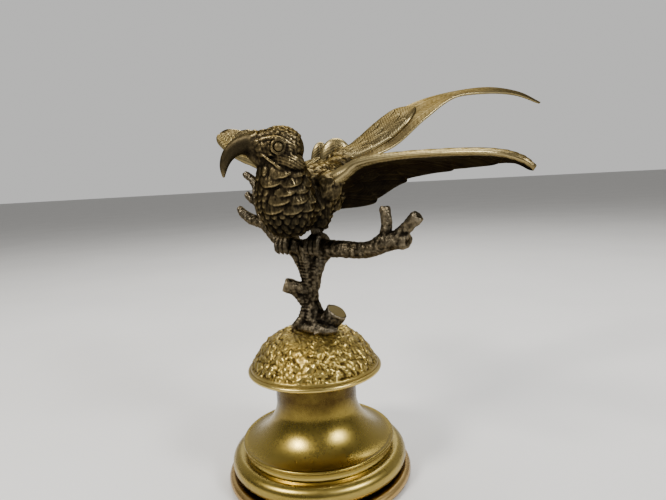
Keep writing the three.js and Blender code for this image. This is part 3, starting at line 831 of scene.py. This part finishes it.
def make_face(side):
    """Eyelid, ear patch, jaw line, brow, and the fine feathers behind the eye and before it."""
    face = [eyelid(side), ear_patch(side)]
    jaw = [(8.4, 3.6, -0.8), (5.8, 5.9, -2.4), (3.0, 6.9, -4.6), (-0.6, 6.6, -7.6), (-4.6, 5.2, -9.0),
           (-8.0, 2.6, -8.2)]
    face.append(face_line(side, jaw, [0.35, 0.5, 0.55, 0.55, 0.5, 0.4]))
    brow = [(8.0, 3.4, 2.2), (4.6, 5.8, 3.4), (0.4, 6.9, 3.3), (-3.4, 6.6, 2.0), (-6.0, 5.4, 0.0)]
    face.append(face_line(side, brow, [0.5, 0.8, 0.95, 0.7, 0.3]))
    for tuft in range(5):
        low = 1.6 - 1.15 * tuft
        lash = [(-2.6, 7.2, low), (-4.6, 6.5, low - 0.5), (-6.8 + 0.3 * tuft, 5.4, low - 1.4)]
        face.append(face_line(side, lash, [0.5, 0.62, 0.2], 2))
    for line in range(4):
        whisker = [(7.6 - line, 5.0 + 0.4 * line, 0.9 - 0.9 * line),
                   (5.6 - line, 6.0 + 0.3 * line, 0.6 - 1.0 * line),
                   (3.6 - 0.8 * line, 6.8, 0.5 - 1.3 * line)]
        face.append(face_line(side, whisker, [0.2, 0.4, 0.2], 2))
    return face


def calm_shoulders(whole):
    """Smooths the plumage over the shoulders and thins it out along the back. Gives the new points."""
    points = coords(whole)
    calm = np.clip((normals(whole)[:, 2] - 0.2) * 1.5, 0, 0.6) * np.clip((points[:, 1] + 8) / 6, 0, 1)
    for spot in (bird(12.5, 0, 24), bird(-11.5, 1, 25)):
        near = np.clip((10.5 - np.linalg.norm(points - np.array(spot), axis=1)) / 4, 0, 1)
        calm = np.maximum(calm, near)
    return points + (smoothed(whole, points, 9) - points) * calm[:, None]


def bird_painted_shade(points, outward, on_beak):
    """Painted shade: darker low down, in front, underneath, round the eyes and on the beak, but not on the
    beak's upward-facing crest, which stays lighter as a painted highlight.
    """
    height = points[:, 2] - PERCH_Z
    below = np.clip((20 - height) / 9, 0, 1) * 0.85
    fore = np.clip(outward @ FACE * 1.3 - 0.2, 0, 1) * 0.72
    underneath = np.clip(-outward[:, 2] * 1.4 - 0.1, 0, 1) * 0.75
    # painted highlight: the top of the beak is kept out of the painted shade
    lit_crest = np.clip(outward[:, 2] * 2.0 - 0.6, 0, 1) * on_beak
    lids = np.zeros(len(points))
    for side in SIDES.values():
        away = np.linalg.norm(points - eye_spot(side), axis=1)
        lids = np.maximum(lids, np.clip((3.6 - away) / 0.8, 0, 1) * 0.82)
    return np.clip(np.maximum.reduce((below, fore, underneath, lids, 0.72 * on_beak)) - lit_crest, 0, 0.92)


def make_bird():
    form = bird_form()
    pieces = [form] + lay_feathers(form)
    for side in SIDES.values():
        pieces += make_face(side)
    whole = join(pieces, "bird_sculpt")
    apply(whole, "REMESH", mode="VOXEL", voxel_size=PLUMAGE_VOXEL)
    apply(whole, "SMOOTH", factor=0.5, iterations=1)
    outward = normals(whole)
    points = calm_shoulders(whole)
    shag = np.array([noise.fractal(Vector((x, y, z * 0.5)), 1.0, 2.0, 2) for x, y, z in points])
    on_beak = np.clip(((points - HEAD) @ FACE - 9.0) / 2.5, 0, 1)
    sockets = np.ones(len(points))
    for side in SIDES.values():
        eye = eye_spot(side)
        away = np.linalg.norm(points - eye, axis=1)
        inside = away < SOCKET_R
        points[inside] = eye + (points[inside] - eye) / away[inside, None] * SOCKET_R
        sockets = np.minimum(sockets, np.clip((away - SOCKET_R) / 1.0, 0, 1))
    points += outward * (0.14 * shag * (1 - 0.85 * on_beak) * sockets)[:, None]
    set_coords(whole, points)
    mark_relief(whole, 10, 0.36, broad=0.45)
    # painted shade stored on the bird for its material
    mark(whole, "painted_shade", bird_painted_shade(points, normals(whole), on_beak))
    finish_piece(whole, "bird_sculpt", "bird", ["bird_body"])


def make_eyes():
    """Plain beads with one groove round them."""
    for name, side in SIDES.items():
        eye = eye_spot(side)
        ball = blob(tuple(eye + SIDE * side * 0.15), (EYE_R, EYE_R, EYE_R), segments=40, rings=28)
        points = coords(ball)
        local = points - eye
        out = local @ SIDE * side
        rim = np.linalg.norm(local - np.outer(local @ SIDE, SIDE), axis=1)
        points -= np.outer(np.exp(-((rim - 0.95) / 0.14) ** 2) * (out > 0) * 0.12 * side, SIDE)
        set_coords(ball, points)
        mark_relief(ball, 8, 0.15)
        finish_piece(ball, f"eye_{name}", "eye", [f"{name}_eye"])


# ------------------------------------------------------------------ feet
PERCH_R = 3.5
FOOT_VOXEL = 0.22


def make_feet():
    ring = PERCH_R * 1.06 + 1.35
    for name, x in FOOT_X.items():
        def around(spread, degrees, out=0.0):
            angle = math.radians(degrees)
            return (x + spread, (ring + out) * math.sin(angle), PERCH_Z + (ring + out) * math.cos(angle))
        parts = [limb([(x, -0.8, PERCH_Z + ring - 0.6), (x * 0.96, -1.2, PERCH_Z + ring + 1.8),
                       (x * 0.92, -1.6, PERCH_Z + ring + 4)], [2.6, 2.4, 2.3])]
        for spread in (-1, 0, 1):
            path, radii = [], []
            for step in range(22):
                share = step / 21
                fan = spread * (0.8 + 1.9 * min(share * 1.8, 1))
                swell = 0.16 * abs(math.sin(share * math.pi * 5.5))
                path.append(around(fan, 4 - 132 * share, 0.25 - 0.25 * share))
                toe = 1.55 - 0.35 * share + swell
                claw = 1.3 * (1.02 - share) / 0.22 + 0.15
                radii.append(toe if share < 0.8 else claw)
            parts.append(limb(path, radii, 4))
        parts.append(limb([around(0, -4), around(0.2, 30), around(0.4, 62), around(0.5, 104)],
                          [1.6, 1.6, 1.2, 0.3]))
        whole = join(parts, f"foot_{name}")
        apply(whole, "REMESH", mode="VOXEL", voxel_size=FOOT_VOXEL)
        apply(whole, "SMOOTH", factor=0.5, iterations=2)
        mark_relief(whole, 14, 0.22)
        finish_piece(whole, f"foot_{name}", "bark", [f"{name}_foot"])


# ------------------------------------------------------------------ wings and tail
def sheet_blank(across, deep):
    """Two facing grids, edges bridged: x runs along the span, y along the chord, z tells the sides apart."""
    deselect()
    bpy.ops.mesh.primitive_grid_add(x_subdivisions=across, y_subdivisions=deep, size=1, location=(0, 0, 0.5))
    bpy.ops.object.transform_apply(location=True)
    bpy.ops.object.mode_set(mode="EDIT")
    bpy.ops.mesh.select_all(action="SELECT")
    bpy.ops.mesh.duplicate_move(TRANSFORM_OT_translate={"value": (0, 0, -1)})
    bpy.ops.mesh.flip_normals()
    bpy.ops.mesh.select_all(action="DESELECT")
    bpy.ops.mesh.select_mode(type="EDGE")
    bpy.ops.mesh.select_non_manifold()
    bpy.ops.mesh.bridge_edge_loops()
    bpy.ops.object.mode_set(mode="OBJECT")
    return bpy.context.object


def unit(vectors):
    return vectors / np.maximum(np.linalg.norm(vectors, axis=-1, keepdims=True), 1e-9)


def feather_rows(u, w, rows, slant, height):
    """Lays rows of overlapping rounded coverts over a height field, each row on top of the one before."""
    for count, start, end, offset, round_off, step in rows:
        place = (u - slant * (w - start)) * count + offset
        a = (place - np.floor(place)) * 2 - 1
        b = (w - start) / (end - start)
        tip = 1 - round_off * np.abs(a) ** 2.2
        covered = (b > -0.5) & (b < tip)
        barb = 0.04 * np.sin((b * 14 + np.abs(a) * 3) * 4.0)
        form = step + 0.42 * np.clip(b / tip, 0, 1) ** 1.5 + 0.34 * (1 - a**2)
        form = form + 0.10 * np.exp(-(a / 0.10) ** 2) + barb
        height = np.where(covered, form, height)
    return height


def quill_place(u, w, tips, slant):
    """Where a point lies across its long quill, from -1 at the inner edge to 1 at the outer one."""
    s = np.clip(u + slant * (1 - w), 0, tips[-1] - 1e-4)
    i = np.clip(np.searchsorted(tips, s, side="right"), 1, len(tips) - 1)
    low, high = np.array(tips)[i - 1], np.array(tips)[i]
    return (s - low) / (high - low) * 2 - 1


def wing_relief(u, w, upper, tips):
    """Height of the feather layers in millimetres: long quills, then rows of coverts towards the front."""
    a = quill_place(u, w, tips, 0.30)
    a2 = quill_place(u, w, np.arange(0, 1.9, 0.058), 0.30)
    height = 0.62 * (1 - np.clip((a + 0.1) / 1.1, 0, 1) ** 2) + 0.22 * (1 - a2**2)
    height += 0.32 * np.exp(-((a + 0.5) / 0.07) ** 2)
    height += 0.05 * np.sin(w * 150 + a * 9)
    slant = 0.16 + 0.3 * u
    rows = [(12, 0.26, 0.60, 0.5, 0.34, 0.55), (16, 0.14, 0.40, 0.2, 0.34, 0.85),
            (20, 0.05, 0.26, 0.6, 0.36, 1.1)]
    if not upper:
        rows = rows[:2]
    return feather_rows(u, w, rows, slant, height)


def tail_relief(u, w, upper, tips):
    """Long vanes side by side, finely barbed, with a groove beside the coverts."""
    a = (w * 2.0 - np.floor(w * 2.0)) * 2 - 1
    height = 0.5 * (1 - np.abs(a) ** 2) + 0.3 * np.exp(-(a / 0.10) ** 2)
    height += 0.07 * np.sin(u * 330 + np.abs(a) * 7) * (0.6 + 0.4 * np.sin(w * 9 + u * 30))
    return height if upper else height * 0.6


def covert_relief(u, w, upper, tips):
    """Rounded coverts overlapping along the sheet like shingles."""
    height = np.full_like(u, 0.3)
    rows = [(3, 0.66, 1.10, 0.5, 0.25, 0.35), (3, 0.48, 0.84, 0.1, 0.3, 0.5), (4, 0.31, 0.66, 0.7, 0.3, 0.65),
            (4, 0.14, 0.48, 0.2, 0.3, 0.8), (5, -0.05, 0.31, 0.6, 0.3, 0.95), (5, -0.2, 0.15, 0.1, 0.3, 1.1)]
    height = feather_rows(w, u, rows, 0.25, height)
    return height + 0.045 * np.sin(u * 280 + w * 30)


def sheet_extent(u, tips, notch):
    """How far each feather reaches: it grows to its tip, then drops back to the next feather."""
    i = np.clip(np.searchsorted(tips, u, side="right"), 1, len(tips) - 1)
    low, high = np.array(tips)[i - 1], np.array(tips)[i]
    a = np.clip((u - low) / (high - low), 0, 1)
    return 1 - notch * (1 - a) ** 1.2 - notch * 0.95 * np.clip((a - 0.80) / 0.20, 0, 1) ** 3


def feathered(lead, trail, thick, thin, camber, relief, tips, notch, size, flip=1, painted_shade=(0.0, 0.0),
              depth=(0.55, 0.4), plump=False):
    """A cast feather sheet between two edges, thick at the front edge or, when plump, along its middle."""
    obj = sheet_blank(*size)
    p = coords(obj)
    u, w, upper = p[:, 0] + 0.5, p[:, 1] + 0.5, p[:, 2] > 0
    a = curve_points(lead, u)
    chord = curve_points(trail, u) - a
    step = 0.004
    along = curve_points(lead, np.minimum(u + step, 1)) - curve_points(lead, np.maximum(u - step, 0))
    face = unit(np.cross(along, chord)) * flip
    spread = w * (sheet_extent(u, tips, notch * (1 + 1.3 * u**2)) if notch else 1)
    round_end = np.sqrt(np.clip(1 - (np.clip(u - 0.965, 0, 1) / 0.036) ** 2, 0.02, 1))
    spread = 0.4 + (spread - 0.4) * round_end
    swell = np.sin(np.pi * w) * camber * np.linalg.norm(chord, axis=1)
    body = np.interp(u, np.linspace(0, 1, len(thick)), thick)
    half = (body + (thin - body) * w**0.7) / 2
    nose = np.sqrt(np.clip(1 - (1 - np.clip(w / 0.10, 0, 1)) ** 2, 0.03, 1))
    if plump:
        half = body / 2
        middle = 1 - (2 * w - 1) ** 2
        far_end = 1 - (np.clip(u - 0.82, 0, 1) / 0.19) ** 2
        root = 1 - (1 - np.clip(u / 0.12, 0, 1)) ** 2
        nose = np.sqrt(np.clip(middle, 0.02, 1)) * np.sqrt(np.clip(far_end, 0.05, 1))
        nose = nose * np.sqrt(np.clip(root, 0.05, 1))
    high = relief(u, w, True, tips) - 0.9
    low = relief(u, w, False, tips) - 0.9
    fade = np.clip(w / 0.05, 0.1, 1) * np.clip((1 - w) / 0.03, 0.25, 1)
    ribs = 0.03 * np.sin(u * 470 + w * 60) + 0.06 * np.sin(w * 130 + u * 5)
    ribs = ribs * np.clip((0.13 - w) / 0.04, 0, 1) * (1 - 0.8 * u)
    out = np.where(upper, half * nose + high * depth[0] * fade + ribs,
                   -(half * nose + low * depth[1] * fade + ribs))
    out = np.where(upper, np.maximum(out, 0.12), np.minimum(out, -0.12))
    points = a + chord * spread[:, None] + face * (swell * flip + out)[:, None]
    set_coords(obj, points)
    deselect()
    obj.select_set(True)
    bpy.context.view_layer.objects.active = obj
    bpy.ops.object.mode_set(mode="EDIT")
    bpy.ops.mesh.select_all(action="SELECT")
    bpy.ops.mesh.normals_make_consistent(inside=False)
    bpy.ops.object.mode_set(mode="OBJECT")
    mark_relief(obj, 14, 0.2)
    # painted shade on the chosen side of the sheet, kept off the front edge
    dark = np.where(upper, painted_shade[0], painted_shade[1]) * np.clip((w - 0.10) / 0.05, 0, 1)
    mark(obj, "painted_shade", dark)
    return obj


def wing_point(x, y, z, side, rise):
    lift = max(x - 12, 0) * math.tan(math.radians(rise))
    return bird(side * x, y, z + lift)


LEFT_LEAD = [(7, -4.4, 24.4), (19, 1, 30.5), (27, 2.5, 34), (45, 3.5, 35), (65, 4.5, 34.5), (80, 6, 33.2),
             (87.5, 8.5, 30.6), (91, 11, 27.6)]
LEFT_TRAIL = [(3, 12, 14.5), (13.0, 30.0, 16.6), (26, 34, 24.8), (40, 35, 28.2), (54, 32, 29.2), (68, 27, 30),
              (80, 21, 30.2), (89, 14.5, 27)]
RIGHT_LEAD = [(7, -4.4, 26), (20, 0, 27.4), (34, 1.5, 28.1), (50, 3, 27.4), (62, 6, 27.3), (70, 9, 27.5),
              (74.5, 11.5, 28), (76.5, 13, 28.7)]
RIGHT_TRAIL = [(7, 20, 33), (7, 24, 38), (13, 25, 38), (19, 22, 32), (36, 27, 34.4), (52, 29, 37.6),
               (66, 25, 36.4), (76, 18, 33.4)]
WING_THICK = [8.8, 7.0, 4.2, 2.9, 2.6, 2.4, 1.9, 1.2]
LEFT_TIPS = (-0.02, 0.17, 0.325, 0.553, 0.77, 1.0)
RIGHT_TIPS = (-0.02, 0.24, 0.36, 0.48, 0.60, 0.72, 0.86, 1.0)
TAIL_TOP = [(-5, 24, 38), (-2, 33, 40.4), (4, 46, 50.6), (11, 60, 60.6), (20, 78, 66.8), (33, 101, 70.6),
            (43, 119, 68.8), (50, 132, 63.6)]
TAIL_UNDER = [(2, 21, 33), (9, 29, 36), (17, 43, 42), (25, 56, 53.6), (32, 71, 63.4), (40, 87, 65.8),
              (46.4, 107, 66), (50.6, 130, 62.8)]


def lobe(centre, across, along, width, length, depth):
    """One large rounded feather end, finely ribbed, its flat side towards across x along."""
    deselect()
    bpy.ops.mesh.primitive_uv_sphere_add(segments=72, ring_count=44, radius=1)
    shape = bpy.context.object
    points = coords(shape)
    across = Vector(across).normalized()
    along = Vector(along)
    along = (along - across * across.dot(along)).normalized()
    out = across.cross(along)
    x, y, z = points.T
    rib = 0.09 * np.sin(y * 52 + np.abs(x) * 20) * np.clip(np.abs(z) * 3, 0, 1) / depth
    shaft = 0.16 * np.exp(-(x / 0.06) ** 2) / depth
    squash = np.sign(z) * np.abs(z) ** 0.8 * (1 + rib + shaft)
    frame_of = np.array((across, along, out))
    local = np.stack((x * width, y * length, squash * depth), axis=1)
    set_coords(shape, np.array(centre) + local @ frame_of)
    mark_relief(shape, 8, 0.12)
    # the lobes get no painted shade
    mark(shape, "painted_shade", np.zeros(len(points)))
    return shape


def make_wings():
    for name, side, rise, lead, trail, tips in (("left", 1, 0, LEFT_LEAD, LEFT_TRAIL, LEFT_TIPS),
                                                ("right", -1, 21, RIGHT_LEAD, RIGHT_TRAIL, RIGHT_TIPS)):
        front = [wing_point(*p, side, rise) for p in lead]
        rear = [wing_point(*p, side, rise) for p in trail]
        # painted shade on the wing undersides: full on the left wing, partial on the right
        wing = feathered(front, rear, WING_THICK, 1.1, 0.07, wing_relief, tips, 0.085, (330, 118), flip=side,
                         painted_shade=(0.0, 1.0 if side == 1 else 0.35))
        if side == -1:
            view = (0.743, 0.669, 0)
            lobes = [
                lobe(bird(-14.6, 26.8, 36.6), view, (-0.12, -0.1, 1), 4.8, 9.4, 2.2),
                lobe(bird(-6.0, 28.0, 37.2), view, (0.05, 0.05, 1), 7.6, 9.8, 3.6),
                lobe(bird(-9.6, 25.6, 33.6), view, (0.35, 0.3, 1), 4.8, 6.4, 2.6),
                lobe(bird(-1.6, 25.6, 34.2), view, (0.5, 0.45, 1), 4.4, 5.6, 2.6),
                lobe(bird(-5.4, 23.4, 31.0), view, (0.6, 0.5, 1), 4.6, 5.6, 2.6),
            ]
            wing = join([wing] + lobes, "wing_right")
        finish_piece(wing, f"wing_{name}", "feather", [f"{name}_wing"])
    top = bird_path(*TAIL_TOP)
    under = bird_path(*TAIL_UNDER)
    tail = feathered(top, under, [8.6, 7.0, 4.2, 2.8, 2.4, 2.2, 1.8, 1.2], 1.3, 0.05, tail_relief, (0, 1), 0,
                     (370, 64), flip=1)
    upper_edge, lower_edge = [], []
    for share in np.linspace(0.0, 0.455, 9):
        high = curve_points(top, share)
        low = curve_points(under, share)
        reach = 0.76 - 0.2 * share
        close = max(0, (share - 0.36) / 0.095) ** 2
        upper_edge.append(tuple(high + (low - high) * (-0.20 + 0.36 * close)))
        lower_edge.append(tuple(high + (low - high) * (reach - 0.30 * close)))
    coverts = feathered(upper_edge, lower_edge, [12.0, 10.8, 9.2, 8.0, 7.2, 6.6, 6.2, 5.8, 5.4], 2.0, 0.05,
                        covert_relief, (0, 1), 0, (280, 80), flip=1, depth=(0.6, 0.5), plump=True)
    finish_piece(join([tail, coverts], "tail_plume"), "tail_plume", "feather", ["tail"])


# ------------------------------------------------------------------ what stays as the solid model made it
def dress_fixings():
    for node in ("tie_stud", "clamp_washer", "clamp_nut", "left_wing_pin", "right_wing_pin", "tail_pin"):
        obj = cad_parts[node]
        obj.data.materials.clear()
        obj.data.materials.append(MATERIALS["steel"])


# ------------------------------------------------------------------ floor and light
def make_stage():
    deselect()
    bpy.ops.mesh.primitive_plane_add(size=60, location=(0, 0, 0))
    floor = bpy.context.object
    floor.name = "floor"
    bpy.ops.object.mode_set(mode="EDIT")
    bpy.ops.mesh.select_all(action="SELECT")
    bpy.ops.mesh.subdivide(number_cuts=3)
    bpy.ops.object.mode_set(mode="OBJECT")
    floor.data.materials.append(MATERIALS["floor"])
    world = bpy.data.worlds.new("soft_room")
    bpy.context.scene.world = world
    world.use_nodes = True
    tree = world.node_tree
    backdrop = tree.nodes["Background"]
    way = tree.nodes.new("ShaderNodeTexCoord")
    facing = tree.nodes.new("ShaderNodeVectorMath")
    facing.operation = "DOT_PRODUCT"
    facing.inputs[1].default_value = ahead
    tree.links.new(way.outputs["Generated"], facing.inputs[0])
    share = tree.nodes.new("ShaderNodeMapRange")
    share.interpolation_type = "SMOOTHSTEP"
    share.inputs["From Min"].default_value = -0.1
    share.inputs["From Max"].default_value = 0.8
    share.inputs["To Min"].default_value = 0.20
    share.inputs["To Max"].default_value = 0.80
    tree.links.new(facing.outputs["Value"], share.inputs["Value"])
    tree.links.new(share.outputs["Result"], backdrop.inputs["Strength"])
    backdrop.inputs["Color"].default_value = (0.80, 0.795, 0.78, 1)


def lamp(name, place, target, size, power, colour=(1, 1, 1)):
    deselect()
    bpy.ops.object.light_add(type="AREA", location=place)
    light = bpy.context.object
    light.name = name
    light.data.shape = "DISK"
    light.data.size = size
    light.data.energy = power
    light.data.color = colour
    light.rotation_euler = (Vector(target) - Vector(place)).to_track_quat("-Z", "Y").to_euler()


def make_lights():
    lamp("key", (-0.15, -0.75, 0.85), (0, 0, 0.09), 0.26, 11.0, (1.0, 0.97, 0.92))
    lamp("fill", (0.85, 0.05, 0.7), (0, 0, 0.08), 0.26, 8.0, (0.97, 0.98, 1.0))
    lamp("over", (-0.2, 0.35, 0.95), (0, 0, 0.12), 0.7, 9.0, (1.0, 0.99, 0.97))


make_stage()
make_lights()
make_base()
make_cap()
make_branch()
make_bird()
make_eyes()
make_feet()
make_wings()
dress_fixings()
